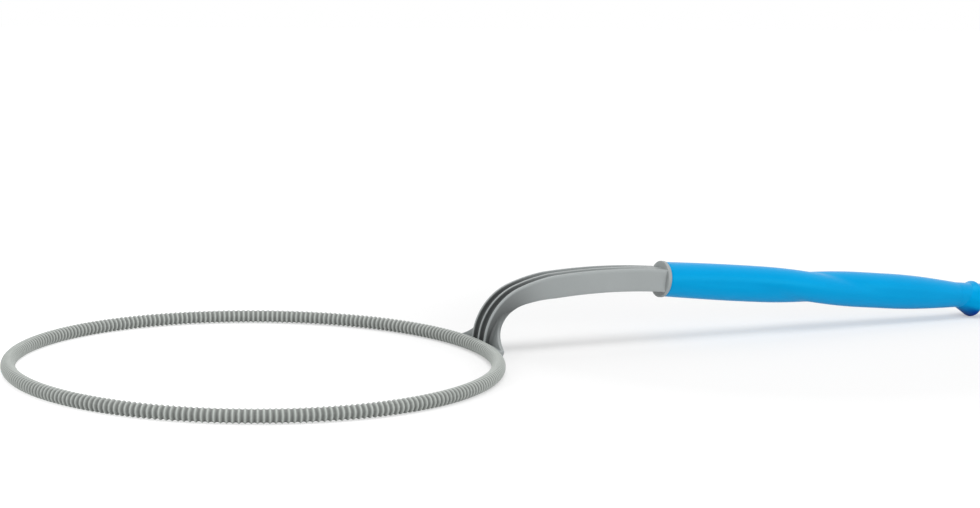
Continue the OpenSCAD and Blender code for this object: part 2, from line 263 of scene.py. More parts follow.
class MouldSkin:
    """Shared effect: the fine unevenness of an injection-moulded surface.

    It puts out a mask of soft cloudiness for the colour, a roughness that
    wanders with it, and the height of a fine grain with a few hairline scuffs.
    Each of its three noises has a detail and a roughness.
    """

    NAME = "mould_skin"
    INPUTS = {"Cloud Scale": 22.0, "Grain Scale": 900.0, "Roughness": 0.4,
              "Roughness Spread": 0.1, "Scuffs": 0.3}
    OUTPUTS = ("Cloud", "Roughness", "Height")
    CLOUD, GRAIN, STREAK = (4.0, 0.55), (3.0, 0.6), (2.0, 0.5)
    STREAK_TURN, STREAK_STRETCH = (0.3, 0.5, 0.7), (35.0, 900.0, 500.0)
    SCUFF_SPAN = (0.70, 0.76)
    SCUFF_GLOSS_LOSS = 0.12

    @classmethod
    def group(cls) -> bpy.types.NodeTree:
        """Build the group on the first call: noise for clouds and grain, drawn out for scuffs."""
        found = bpy.data.node_groups.get(cls.NAME)
        if found:
            return found
        tree = bpy.data.node_groups.new(cls.NAME, "ShaderNodeTree")
        face = tree.interface
        for label, value in cls.INPUTS.items():
            socket = face.new_socket(label, in_out="INPUT", socket_type="NodeSocketFloat")
            socket.default_value = value
        for label in cls.OUTPUTS:
            face.new_socket(label, in_out="OUTPUT", socket_type="NodeSocketFloat")
        make = ShaderBuilder(tree)
        given = make.add("NodeGroupInput").outputs
        place = make.add("ShaderNodeTexCoord").outputs["Object"]
        cloud = make.noise(place, given["Cloud Scale"], *cls.CLOUD)
        grain = make.noise(place, given["Grain Scale"], *cls.GRAIN)
        turn = {"Vector": place, "Rotation": cls.STREAK_TURN, "Scale": cls.STREAK_STRETCH}
        drawn = make.add("ShaderNodeMapping", turn).outputs["Vector"]
        streak = make.noise(drawn, 1.0, *cls.STREAK)
        scuff = make.math("MULTIPLY", make.spread(streak, cls.SCUFF_SPAN), given["Scuffs"])
        centred = make.math("SUBTRACT", cloud, 0.5)
        wander = make.math("MULTIPLY_ADD", centred, given["Roughness Spread"], given["Roughness"])
        worn = make.math("MULTIPLY_ADD", scuff, cls.SCUFF_GLOSS_LOSS, wander)
        height = make.math("SUBTRACT", grain, scuff)
        make.add("NodeGroupOutput", dict(zip(cls.OUTPUTS, (cloud, worn, height))))
        return tree


@dataclass(frozen=True)
class Finish:
    """Base of the finishes: a named material that is built once."""

    name: str

    def material(self) -> bpy.types.Material:
        """Build the material, or return the one already built under this name."""
        found = bpy.data.materials.get(self.name)
        if found:
            return found
        material, make, shader = start_material(self.name)
        self.wire(make, shader)
        return material

    def wire(self, make: ShaderBuilder, shader: Node) -> None:
        """Set up the nodes that feed the material's Principled BSDF."""
        raise NotImplementedError


@dataclass(frozen=True)
class MouldedPlastic(Finish):
    """Finish of a moulded plastic: two close tones, a sheen and a fine grain.

    Where the painted shade attribute is set, its colour is mixed toward a deeper
    tone: painted shade in groove bottoms, corners and undersides.
    """

    tone: Triple
    pale_tone: Triple
    painted_shade_tone: Triple
    sheen: Sheen
    cloud_scale: float
    grain_depth: float
    specular: float
    specular_tint: Triple = WHITE
    cloud_span: Pair = (0.3, 0.7)
    roughness_spread: float = 0.12

    def wire(self, make: ShaderBuilder, shader: Node) -> None:
        """Mix the tones by cloud, mix in the painted shade tone, and let the skin set gloss and
        grain.
        """
        skin = make.add("ShaderNodeGroup", {
            "Cloud Scale": self.cloud_scale,
            "Roughness": self.sheen.value,
            "Roughness Spread": self.roughness_spread,
        }, node_tree=MouldSkin.group()).outputs
        cloud = make.spread(skin["Cloud"], self.cloud_span)
        colour = make.mix(cloud, opaque(self.tone), opaque(self.pale_tone))
        # Painted shade: this attribute darkens the colour towards the shade tone.
        depth = make.add("ShaderNodeAttribute", attribute_name=SHADE_ATTRIBUTE).outputs["Fac"]
        grain = {"Strength": self.grain_depth, "Distance": GRAIN_HEIGHT, "Height": skin["Height"]}
        make.feed(shader, {
            "Base Color": make.mix(depth, colour, opaque(self.painted_shade_tone)),
            "Roughness": skin["Roughness"],
            "Normal": make.add("ShaderNodeBump", grain).outputs["Normal"],
            "Specular IOR Level": self.specular,
            "Specular Tint": opaque(self.specular_tint),
        })


@dataclass(frozen=True)
class PlatedSteel(Finish):
    """Finish of the zinc-plated screws: bright metal with a spangled roughness.

    The spangle is the scale, detail and roughness of its noise.
    """

    name: str = "zinc_plated_steel"
    tone: Triple = (0.56, 0.57, 0.60)
    pale_tone: Triple = (0.70, 0.71, 0.72)
    spangle: Triple = (1500.0, 3.0, 0.5)
    roughness_range: Pair = (0.22, 0.42)

    def wire(self, make: ShaderBuilder, shader: Node) -> None:
        """Let one fine noise set both the colour and the roughness."""
        place = make.add("ShaderNodeTexCoord").outputs["Object"]
        spangle = make.noise(place, *self.spangle)
        make.feed(shader, {
            "Base Color": make.mix(spangle, opaque(self.tone), opaque(self.pale_tone)),
            "Roughness": make.spread(spangle, onto=self.roughness_range),
            "Metallic": 1.0,
        })


# The deep third tone of each plastic is painted shade, not a colour of its own.
HOOP_GREY = MouldedPlastic(
    "hoop_grey_plastic", tone=(0.530, 0.565, 0.536), pale_tone=(0.570, 0.605, 0.576),
    painted_shade_tone=(0.138, 0.147, 0.139), sheen=Sheen.SATIN, cloud_scale=30.0, grain_depth=0.05,
    specular=0.4,
)
ARM_GREY = MouldedPlastic(
    "arm_grey_plastic", tone=(0.340, 0.366, 0.366), pale_tone=(0.370, 0.396, 0.396),
    painted_shade_tone=(0.066, 0.072, 0.072), sheen=Sheen.SATIN, cloud_scale=26.0, grain_depth=0.05,
    specular=0.4,
)
GRIP_BLUE = MouldedPlastic(
    "grip_blue_plastic", tone=(0.000, 0.325, 0.690), pale_tone=(0.000, 0.345, 0.720),
    painted_shade_tone=(0.000, 0.035, 0.300), sheen=Sheen.SEMI_GLOSS, cloud_scale=18.0, grain_depth=0.03,
    specular=0.30, specular_tint=(0.05, 0.9, 1.0),
)


@dataclass(frozen=True)
class WandLayout:
    """Sizes that the pieces of the wand share, and the places that follow from them."""

    wand_len: float = 648.0
    grip_tilt: float = 5.5
    hoop_dia: float = 276.0
    rod_dia: float = 8.0
    pommel_dia: float = 23.4
    pommel_drop: float = 2.0
    rim_round: float = 2.0
    nose_len: float = 12.0
    nose_dia: float = 10.0
    neck_dia: float = 16.4
    neck_len: float = 14.0
    mouth_dia: float = 21.0
    fit_gap: float = 0.15
    seam_gap: float = 0.04
    collar_t: float = 2.4
    collar_lip: float = 0.6

    @property
    def rod_r(self) -> float:
        """Radius of the hoop's rod over its ribs."""
        return self.rod_dia / 2

    @property
    def hoop_r(self) -> float:
        """Radius of the middle line of the hoop's rod."""
        return self.hoop_dia / 2 - self.rod_r

    @property
    def hoop_x(self) -> float:
        """Place of the middle of the hoop along X."""
        return self.hoop_dia / 2 - self.wand_len / 2

    @property
    def tilt(self) -> float:
        """Slope of the grip in radians."""
        return math.radians(self.grip_tilt)

    @property
    def rim_ring_r(self) -> float:
        """Radius of the circle that the rim's rounding is centred on."""
        return self.pommel_dia / 2 - self.rim_round

    @property
    def rim_x(self) -> float:
        """Place of the grip's origin, abreast of the pommel's rim, along X."""
        return (self.wand_len / 2 - self.nose_len * math.cos(self.tilt)
                - self.nose_dia / 2 * math.sin(self.tilt))

    @property
    def rim_z(self) -> float:
        """Height of the grip's origin over the floor."""
        return (self.rim_ring_r + self.pommel_drop) * math.cos(self.tilt) + self.rim_round

    def from_grip(self, points: Array) -> Array:
        """Turn points of the grip's own frame into the wand's.

        Formula: a turn by the grip's slope about Y, then a shift to the rim.

        Args:
            points: points whose X runs down the grip from the rim.

        Returns:
            The points in the wand's frame.
        """
        c, s = math.cos(self.tilt), math.sin(self.tilt)
        x, y, z = points[..., 0], points[..., 1], points[..., 2]
        return np.stack([x * c + z * s + self.rim_x, y, z * c - x * s + self.rim_z], -1)


@dataclass
class WettingHoop:
    """The ribbed hoop that is dipped: a thin rod with ring-shaped ribs."""

    layout: WandLayout
    rib_pitch: float = 3.0
    rib_depth: float = 0.8
    stations: Floats = (0.0, 0.24, 0.5, 0.76)
    grooves: Floats = (1.0, 0.8, 0.0, 0.8)
    sides: int = 16
    crease: float = 120.0

    def surface(self) -> Patch:
        """Skin of the ribbed ring.

        Formula: a torus whose rod radius is r - d g. The groove g takes its few
        values at fixed shares of the way from one groove to the next.

        Returns:
            The patch of the ring, with painted shade in its grooves.
        """
        lay = self.layout
        ribs = round(2 * math.pi * lay.hoop_r / self.rib_pitch)
        phase = np.arange(ribs)[:, None] + np.array(self.stations)[None, :]
        turn = (2.0 * np.pi / ribs * phase).reshape(-1, 1)
        groove = np.tile(self.grooves, ribs)[:, None]
        r = lay.rod_r - self.rib_depth * groove
        a = (np.arange(self.sides)[None, :] + 0.5) * 2.0 * np.pi / self.sides
        out = lay.hoop_r + r * np.cos(a)
        across, height = out * np.sin(turn), lay.rod_r + r * np.sin(a)
        points = np.stack([lay.hoop_x + out * np.cos(turn), across, height], -1)
        # Painted shade follows the groove: darkest at the groove bottoms.
        return Patch(points, wrap_rows=True, hollow=groove)

    def build(self) -> Piece:
        """Make the hoop's mesh and dress it in grey plastic."""
        piece = make_piece("ribbed_hoop", [self.surface()], self.crease)
        piece.data.materials.append(HOOP_GREY.material())
        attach(piece, BODY)
        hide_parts("hoop")
        return piece


@dataclass
class ArmPath:
    """Middle line of the arm: a straight foot, then three arcs that meet smoothly."""

    layout: WandLayout
    foot_t: float = 6.3
    saddle_t: float = 1.8
    slopes: Floats = (81.0, 17.0, 5.4)
    radius_shares: Floats = (0.048, 0.155)
    arc_steps: tuple[int, ...] = (14, 4, 10)
    starts: Array = field(init=False)
    angles: Array = field(init=False)
    bends: Array = field(init=False)
    begins: Array = field(init=False)
    ends: Array = field(init=False)

    def __post_init__(self) -> None:
        """Work out the last arc, which ends on the middle line of the grip.

        An arc of radius r from slope a to b moves by r (sin a - sin b) along X
        and r (cos b - cos a) along Z. The last radius puts its end on the line
        through the rim that falls by the grip's slope.
        """
        lay = self.layout
        angles = np.radians([*self.slopes, -lay.grip_tilt])
        offset = lay.rod_r + 3 * self.saddle_t / 4
        radii = [share * lay.wand_len for share in self.radius_shares]
        point = np.array([lay.hoop_x + lay.hoop_r + offset, lay.rod_dia])
        starts = [point]
        for k, r in enumerate(radii):
            point = point + r * self._move(angles[k], angles[k + 1])
            starts.append(point)
        rise = math.tan(lay.tilt)
        step = self._move(*angles[-2:])
        last = (lay.rim_z + (lay.rim_x - point[0]) * rise - point[1]) / (step[1] + step[0] * rise)
        self.angles = angles
        self.bends = np.array([*radii, last])
        self.starts = np.array(starts)
        self.ends = np.cumsum(self.bends * (angles[:-1] - angles[1:]))
        self.begins = np.concatenate([[0.0], self.ends[:-1]])

    @staticmethod
    def _move(a: float, b: float) -> Array:
        """Step of an arc of radius 1 that turns from slope a to slope b."""
        return np.array([math.sin(a) - math.sin(b), math.cos(b) - math.cos(a)])

    @property
    def length(self) -> float:
        """Length of the three arcs."""
        return float(self.ends[-1])

    def stations(self) -> Array:
        """Distances along the path of the even steps that each arc is cut into."""
        arcs = zip(self.begins, self.ends, self.arc_steps)
        return np.concatenate([np.linspace(a, b, n, endpoint=False) for a, b, n in arcs])

    @property
    def end(self) -> Array:
        """Last point of the path, as (x, z)."""
        return self.starts[-1] + self.bends[-1] * self._move(*self.angles[-2:])

    def at(self, run: Array) -> tuple[Array, Array, Array]:
        """Points of the path and its slope at distances along it.

        Formula: on an arc that starts at p with slope a, the slope after a run
        s is b = a - s / r, and the point p + r (sin a - sin b, cos b - cos a).
        Before the first arc the path is straight.

        Args:
            run: distances along the path; negative ones lie on the foot.

        Returns:
            Arrays of x, z and slope in radians.
        """
        k = np.minimum(np.searchsorted(self.ends, run, side="right"), len(self.ends) - 1)
        r, a = self.bends[k], self.angles[k]
        b = a - np.maximum(run - self.begins[k], 0.0) / r
        back = np.minimum(run, 0.0)
        x = self.starts[k, 0] + r * (np.sin(a) - np.sin(b)) + back * math.cos(self.angles[0])
        z = self.starts[k, 1] + r * (np.cos(b) - np.cos(a)) + back * math.sin(self.angles[0])
        return x, z, b


@dataclass(frozen=True)
class ArmShade:
    """Painted shade on the arm's flutes, sides and corners, as shares of the shade tone.

    Lengths are in millimetres. The rest are shares of the full shade tone.
    """

    flute_gain: float = 4.0
    flute_loss: float = 0.65
    flute_hold_len: float = 25.0
    flute_fade_len: float = 45.0
    foot: float = 0.9
    foot_len: float = 35.0
    trail: float = 0.2
    trail_len: float = 65.0
    side_top: float = 0.75
    deepest: float = 0.95
    underside: float = 0.5
    corner_len: float = 7.0

    def flute(self, share: Array, run: Array) -> Array:
        """Shade of the flutes, which weakens along the arm.

        Args:
            share: share of the flute's depth across the arm, as a row.
            run: distances along the path, as a column.

        Returns:
            The shade, from 0 on a crest to 1.
        """
        fade = smooth_step((run - self.flute_hold_len) / self.flute_fade_len)
        return np.minimum(1.0, self.flute_gain * share) * (1.0 - self.flute_loss * fade)

    def side(self, down: Array, run: Array) -> Array:
        """Shade of the arm's sides: a e^(-(s/l)^3) + b e^(-(s/m)^2) at a run s.

        Args:
            down: share of the way down the side, as a row.
            run: distances along the path, as a column.

        Returns:
            The shade, a little deeper at the foot of the side.
        """
        up = np.maximum(run, 0.0)
        shade = self.foot * np.exp(-((up / self.foot_len) ** 3))
        shade = shade + self.trail * np.exp(-((up / self.trail_len) ** 2))
        return np.minimum(self.deepest, (self.side_top + (1.0 - self.side_top) * down) * shade)


@dataclass
class FlutedArm:
    """The arched arm: three crests and two flutes over a hollow underside.

    The sheets of the saddle and the ends of the body reach a little into their
    neighbours, by the sizes that end in sink, so that no gap shows.
    """

    layout: WandLayout
    path: ArmPath
    shade: ArmShade = field(default_factory=ArmShade)
    arm_t: float = 13.5
    swell_share: float = 1.8
    flute_fade_share: float = 1.4
    crest_w: float = 1.6
    flute_w: float = 6.1
    flute_depth: float = 2.2
    wall: float = 2.2
    edge_round: float = 0.45
    crest_round: float = 0.8
    lip: float = 0.4
    side_start: float = 0.12
    roof_ease: float = 3.0
    rim_shares: Pair = (0.3, 0.6)
    rim_floor: float = 0.2
    wall_shares: Floats = (0.33, 0.66, 1.0)
    flare_reach: float = 19.3
    flare_fall: float = 6.8
    wing_fade: float = 8.0
    wing_tip_t: float = 0.2
    wing_sink: float = 0.1
    edge_sink: float = 0.2
    fillet: float = 1.5
    fillet_fall: float = 1.1
    shoe_toe: float = 1.2
    shoe_gap: float = 0.05
    tip_power: int = 20
    tip_share: float = 0.02
    ledge: float = 0.85
    foot_drop: float = 3.0
    collar_sink: float = 0.6
    collar_round: float = 0.5
    collar_lap: float = 3.0
    web_lift: float = 0.25
    web_half_t: float = 0.55
    hollow_step: int = 8
    wing_step: int = 9
    first_web_step: int = 11
    web_steps: int = 3
    top_columns: int = 137
    side_rows: int = 7
    body_rows: int = 150
    wing_rows: int = 44
    wing_columns: int = 65
    shoe_rows: int = 81
    shoe_columns: int = 12
    collar_steps: int = 5
    collar_sides: int = 72
    crease: float = 40.0

    @property
    def swell_len(self) -> float:
        """Length of the path over which the arm thickens."""
        return self.swell_share * float(self.path.bends[0])

    @property
    def wing_end(self) -> float:
        """Distance along the path at which the wings end."""
        return float(self.path.stations()[self.wing_step])

    @property
    def half_w(self) -> float:
        """Half the width of the arm."""
        return (3 * self.crest_w + 2 * self.flute_w) / 2

    def half_t(self, run: Array) -> Array:
        """Half thickness of the arm, growing evenly over the swell."""
        grow = np.clip(run / self.swell_len, 0.0, 1.0)
        return (self.path.foot_t + (self.arm_t - self.path.foot_t) * grow) / 2

    def flute_at(self, run: Array) -> Array:
        """Depth of the flutes: full on the bend, fading out towards the grip."""
        fade = np.clip(self.flute_fade_share * (1.0 - run / self.path.length), 0.0, 1.0)
        return self.flute_depth * fade

    def top_profile(self) -> tuple[Array, Array]:
        """Shape of the outer face across the arm.

        Formula: with d the distance from the middle of a flute of half width w,
        the share of the full depth is 1 where d < w + p - c and eases to 0 at
        d = w + p, where p is half the lip and c the rounding of the crests.

        Returns:
            Places across the arm, and the share of the flute's depth at each.
        """
        y = np.linspace(-self.half_w, self.half_w, self.top_columns)
        distance = np.abs(np.abs(y) - (self.crest_w + self.flute_w) / 2)
        rise = (distance - (self.flute_w + self.lip) / 2 + self.crest_round) / self.crest_round
        return y, 1.0 - smooth_step(rise)

    def section_loop(self, run: Array) -> tuple[Array, Array, Array]:
        """Closed outline of the arm at each run, outer face first.

        The outer face dips into the flutes and rounds over at its two edges,
        the sides drop to the rim of the hollow, and its roof closes the loop.

        Args:
            run: distances along the path, as a column.

        Returns:
            Places across the arm, heights over its middle line, and the share
            of painted shade at each point, per run.
        """
        y, share = self.top_profile()
        half = self.half_t(run)
        edge = round_over(self.half_w - np.abs(y), self.edge_round)
        top = half - self.flute_at(run) * share - edge
        down = np.linspace(self.side_start, 1.0, self.side_rows)[None, :]
        low = -half
        side_h = (half - self.edge_round) + (low - half + 2 * self.edge_round) * down
        inner = self.half_w - self.wall
        depth = smooth_step((run - self.path.stations()[self.hollow_step]) / self.roof_ease)
        roof = low + depth * (2 * half - self.flute_depth - self.wall)
        soft = self.edge_round / 2
        near, far = soft * self.rim_shares[0], soft * self.rim_shares[1]
        outer = self.half_w
        rim_y = np.array([[outer - near, outer - soft, inner + soft, inner + near, inner]])
        rim_rise = np.minimum(1.0, depth + self.rim_floor)
        rim_h = low + np.array([[near, 0.0, 0.0, 0.0, far]]) * rim_rise
        wall_y = np.full((1, len(self.wall_shares)), inner)
        wall_h = rim_h[:, -1:] + (roof - rim_h[:, -1:]) * np.array([self.wall_shares])
        right_y = np.concatenate([np.full((1, self.side_rows), outer), rim_y, wall_y], 1)
        right_h = np.concatenate([side_h, rim_h, wall_h], 1)
        across = np.concatenate([y[None, :], right_y, -right_y[:, ::-1]], 1)
        heights = np.concatenate([top, right_h, right_h[:, ::-1]], 1)
        # Painted shade: in the flutes, on the sides darker towards the foot and bottom, and on the
        # underside walls.
        groove, side = self.shade.flute(share, run), self.shade.side(down, run)
        inside = np.concatenate([0.0 * rim_y, 0.0 * wall_y + self.shade.underside], 1) * depth
        hollow = np.concatenate([groove, side, inside, inside[:, ::-1], side[:, ::-1]], 1)
        return np.broadcast_to(across, heights.shape), heights, hollow

    def beside(self, run: Array, across: Array, height: Array) -> Array:
        """Points beside the path: (x - h sin slope, y, z + h cos slope)."""
        x, z, slope = self.path.at(run)
        return np.stack([x - height * np.sin(slope), across, z + height * np.cos(slope)], -1)

    def body(self) -> Patch:
        """Skin of the arm along its path, from the foot to the collar."""
        end = self.path.length + self.collar_sink
        run = np.linspace(-self.foot_drop, end, self.body_rows)[:, None]
        across, heights, hollow = self.section_loop(run)
        return Patch(self.beside(run, across, heights), hollow=hollow)

    def wing_half(self, z: Array) -> Array:
        """Half width of the saddle's wings at a height over the floor.

        Formula: h + reach (e^(-u) - t) / (1 - t), with u the height over the
        shoe's top in units of the fall, and t the value of e^(-u) at the top.

        Args:
            z: heights over the floor.

        Returns:
            The half width at each height.
        """
        foot = 4 * self.layout.rod_r / 3
        wing_top = float(self.path.at(self.wing_end)[1]) - self.path.saddle_t / 2
        tail = math.exp((foot - wing_top) / self.flare_fall)
        fall = np.exp(-np.maximum(z - foot, 0.0) / self.flare_fall)
        return self.half_w + self.flare_reach * np.maximum(fall - tail, 0.0) / (1.0 - tail)

    def wings(self) -> Patch:
        """The winged saddle, as a closed sheet wrapped round the hoop.

        Formula: a point f of the way across lies at y = f w(z) on the circle
        through the arm's back face, and the outer face stands off it by the
        wing's thickness plus a fillet that decays away from the arm's side.
        The fillet fades over the last of the run, where the wing's edge sinks
        into the arm's side. The corner where the wing meets the arm gets painted shade.

        Returns:
            The patch of the wings.
        """
        lay = self.layout
        run = np.linspace(-self.foot_drop, self.wing_end, self.wing_rows)[:, None]
        half = self.half_t(run) - self.wing_sink
        x, z, slope = self.path.at(run)
        back_x, back_z = x + half * np.sin(slope), z - half * np.cos(slope)
        f = np.sin(np.linspace(-np.pi / 2, np.pi / 2, self.wing_columns))[None, :]
        left = smooth_step((run[-1, 0] - run) / self.wing_fade)
        width = self.wing_half(back_z) - self.edge_sink * (1.0 - left)
        y = f * width
        beyond = np.maximum(np.abs(y) - self.half_w, 0.0)
        thin = round_over(width - np.abs(y), self.path.saddle_t - self.wing_tip_t)
        fillet = self.fillet * left * np.exp(-beyond / self.fillet_fall)
        stand = self.path.saddle_t - thin + fillet
        front_x, front_z = back_x - stand * np.sin(slope), back_z + stand * np.cos(slope)

        def wrap(px: Array, pz: Array) -> Array:
            """Carry a sheet round the hoop: same reach from its middle at every y."""
            reach = px - lay.hoop_x
            turn = np.arcsin(np.clip(y / reach, -1.0, 1.0))
            flat_x, flat_y = lay.hoop_x + reach * np.cos(turn), reach * np.sin(turn)
            return np.stack([flat_x, flat_y, pz + 0.0 * turn], -1)

        back = wrap(back_x + 0.0 * f, back_z + 0.0 * f)
        front = wrap(front_x, front_z)
        # Painted shade in the corner by the arm's side, fading out towards the wing's tips.
        corner = self.shade.deepest * np.exp(-beyond / self.shade.corner_len)
        hollow = np.concatenate([0.0 * corner, corner[:, ::-1]], 1)
        return Patch(np.concatenate([back, front[:, ::-1]], 1), hollow=hollow)

    def shoe(self) -> Patch:
        """Foot of the saddle that hugs the outer side of the rod.

        Formula: between two arcs round the rod's middle, of the rod's radius and
        of that plus the shoe's wall, cut off level under the rod's top and over
        the floor, swept over the saddle's reach and thinned to its two tips. The
        outer arc swells by an eased ledge to meet the back of the wings.

        Returns:
            The patch of the shoe.
        """
        lay = self.layout
        reach = math.asin((self.half_w + self.flare_reach + self.shoe_toe) / lay.hoop_r)
        turn = np.linspace(-reach, reach, self.shoe_rows)[:, None]
        thin = np.clip(1.0 - (np.abs(turn) / reach) ** self.tip_power, self.tip_share, 1.0)
        wall = 2 * self.path.saddle_t * np.sqrt(thin)
        inner = lay.rod_r + self.shoe_gap
        h = np.linspace(-2 * lay.rod_r / 3, lay.rod_r / 3, self.shoe_columns)[None, :]
        rise = smooth_step((h - h[0, 0]) / (h[0, -1] - h[0, 0]))
        ledge = self.ledge * wall / np.max(wall) * rise
        outer = np.sqrt((inner + wall) ** 2 - h**2) + ledge
        out = np.concatenate([outer, np.sqrt(inner**2 - h**2)[:, ::-1] + 0.0 * turn], 1)
        z = lay.rod_r + np.concatenate([h, h[:, ::-1]], 1) + 0.0 * turn
        reach_out = lay.hoop_r + out
        x, y = lay.hoop_x + reach_out * np.cos(turn), reach_out * np.sin(turn)
        return Patch(np.stack([x, y, z], -1))

    def collar(self) -> Patch:
        """Collar against the grip's mouth: a disc with rounded edges."""
        lay = self.layout
        front = -(lay.rim_x - self.path.end[0]) / math.cos(lay.tilt)
        r, soft, t = lay.mouth_dia / 2 + lay.collar_lip, self.collar_round, lay.collar_t
        hub = [r - self.collar_lap]
        a = np.linspace(0.0, np.pi / 2, self.collar_steps)
        core = r - soft
        radii = np.concatenate([hub, core + soft * np.sin(a), core + soft * np.cos(a), hub])
        x = np.concatenate([[0.0], soft * (1 - np.cos(a)), t - soft * (1 - np.sin(a)), [t]])
        return Patch(lay.from_grip(revolve(radii, front + x, self.collar_sides)))

    def webs(self) -> list[Patch]:
        """Thin cross webs in the hollow underside, each a slab across the arm."""
        slabs = []
        for run in self.path.stations()[self.first_web_step::self.web_steps]:
            half, flute = float(self.half_t(run)), float(self.flute_at(run))
            y = self.half_w - self.wall / 2
            low, high = -half + self.web_lift, half - flute - self.wall / 2
            across = np.array([[-y, y, y, -y]])
            heights = np.array([[low, low, high, high]])
            faces = run + np.array([[-self.web_half_t], [self.web_half_t]])
            slabs.append(Patch(self.beside(faces, across + 0.0 * faces, heights + 0.0 * faces)))
        return slabs

    def build(self) -> Piece:
        """Make the arm with its saddle, collar and webs, and dress it in grey plastic."""
        patches = [self.body(), self.wings(), self.shoe(), self.collar(), *self.webs()]
        piece = make_piece("fluted_arm", patches, self.crease)
        piece.data.materials.append(ARM_GREY.material())
        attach(piece, BODY)
        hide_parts("arm")
        return piece


@dataclass
class GripShell:
    """One half of the hollow grip, which makes half a turn at its waist."""

    layout: WandLayout
    side: Side
    front: float
    grip_w: float = 18.8
    swell: float = 3.7
    waist: float = 128.0
    twist_len: float = 110.0
    taper_len: float = 54.0
    seam_depth: float = 0.1
    seam_w: float = 0.25
    mouth_round: float = 0.8
    neck_round: float = 0.05
    tang_eye: float = 32.0
    head_seat: float = 6.2
    head_hole_r: float = 3.0
    head_hole_len: float = 10.0
    head_sides: int = 40
    end_steps: Floats = (0.0, 0.05, 0.15, 0.4, 0.8, 1.6)
    end_len: float = 3.0
    rows: int = 150
    seam_angles: Floats = (0.0, 0.7, 1.4, 2.2, 3.4, 5.0)
    columns: int = 45
    crease: float = 50.0

    def swell_share(self, run: Array) -> Array:
        """Share of the full swell: a quarter sine at each end of the grip."""
        rear = np.clip((run - self.layout.neck_len) / self.taper_len, 0.0, 1.0)
        fore = np.clip((self.front - run) / self.taper_len, 0.0, 1.0)
        return np.sin(np.pi / 2 * rear) * np.sin(np.pi / 2 * fore)

    def skin(self, run: Array, psi: Array) -> Array:
        """Outer skin of the grip.

        Formula: a flat-sided oval, two half circles of radius s set 2c apart,
        whose long axis turns by half a turn, eased by a smooth step, round the
        waist. Its edge at an angle q from the long axis lies at s / |sin q| on
        the flats and c |cos q| + sqrt(s^2 - c^2 sin^2 q) on the arcs.

        Args:
            run: distances from the rim towards the arm, as a column.
            psi: angles from the top, as a row.

        Returns:
            Points in the grip's own frame.
        """
        lay = self.layout
        share = self.swell_share(run)
        end_half = np.where(run < self.waist, lay.neck_dia, lay.mouth_dia) / 2
        side = end_half + (self.grip_w / 2 - end_half) * share
        c = self.swell / 2 * share
        q = psi - np.pi * smooth_step((run - self.waist) / self.twist_len + 0.5)
        cos, sin = np.abs(np.cos(q)), np.abs(np.sin(q))
        arcs = c * cos + np.sqrt(np.maximum(side**2 - (c * sin) ** 2, 0.0))
        r = np.where(side * cos <= c * sin, side / np.maximum(sin, TINY), arcs)
        seam = r * np.minimum(np.abs(np.sin(psi)), 1.0)
        r = r - self.seam_depth * (1.0 - np.clip(seam / self.seam_w, 0.0, 1.0)) ** 2
        r = r - round_over(self.front - run, self.mouth_round)
        r = r - round_over(run - lay.neck_len, self.neck_round)
        return np.stack([-run + 0.0 * psi, r * np.sin(psi), r * np.cos(psi)], -1)

    def build(self) -> Piece:
        """Make the half shell, sink the screw heads on the far side, and dress it."""
        lay = self.layout
        ends = np.array(self.end_steps)
        middle = np.linspace(lay.neck_len + self.end_len, self.front - self.end_len, self.rows)
        run = np.concatenate([lay.neck_len + ends, middle, self.front - ends[::-1]])[:, None]
        fine = np.radians(self.seam_angles)
        wide = np.linspace(fine[-1], np.pi - fine[-1], self.columns)[1:-1]
        psi = np.concatenate([fine, wide, np.pi - fine[::-1]])
        points = self.skin(run, self.side.value * psi[None, :])
        name = f"grip_half_{self.side.name.lower()}"
        piece = make_piece(name, [Patch(lay.from_grip(points))], self.crease)
        if self.side is Side.FAR:
            self.sink_heads(piece)
        piece.data.materials.append(GRIP_BLUE.material())
        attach(piece, BODY)
        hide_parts(f"grip_shell_{self.side.name.lower()}")
        return piece

    def sink_heads(self, piece: Piece) -> None:
        """Cut a flat-bottomed hole for each screw head.

        Args:
            piece: the far half shell.
        """
        a = np.linspace(0.0, 2.0 * np.pi, self.head_sides, endpoint=False)[None, :]
        y = self.head_seat + np.array([[0.0], [self.head_hole_len]])
        along, up = self.head_hole_r * np.cos(a) + 0.0 * y, self.head_hole_r * np.sin(a) + 0.0 * y
        rear = self.layout.neck_len + self.taper_len / 2
        drills = [
            Patch(self.layout.from_grip(np.stack([-run + along, y + 0.0 * a, up], -1)))
            for run in (rear, self.waist, self.front - self.tang_eye)
        ]
        cutter = make_piece("head_drills", drills, self.crease)
        cut = piece.modifiers.new("heads", "BOOLEAN")
        cut.object, cut.operation, cut.solver = cutter, "DIFFERENCE", "EXACT"
        drilled = piece.evaluated_get(bpy.context.evaluated_depsgraph_get())
        shaped = bpy.data.meshes.new_from_object(drilled)
        piece.modifiers.clear()
        piece.data = shaped
        bpy.data.objects.remove(cutter)


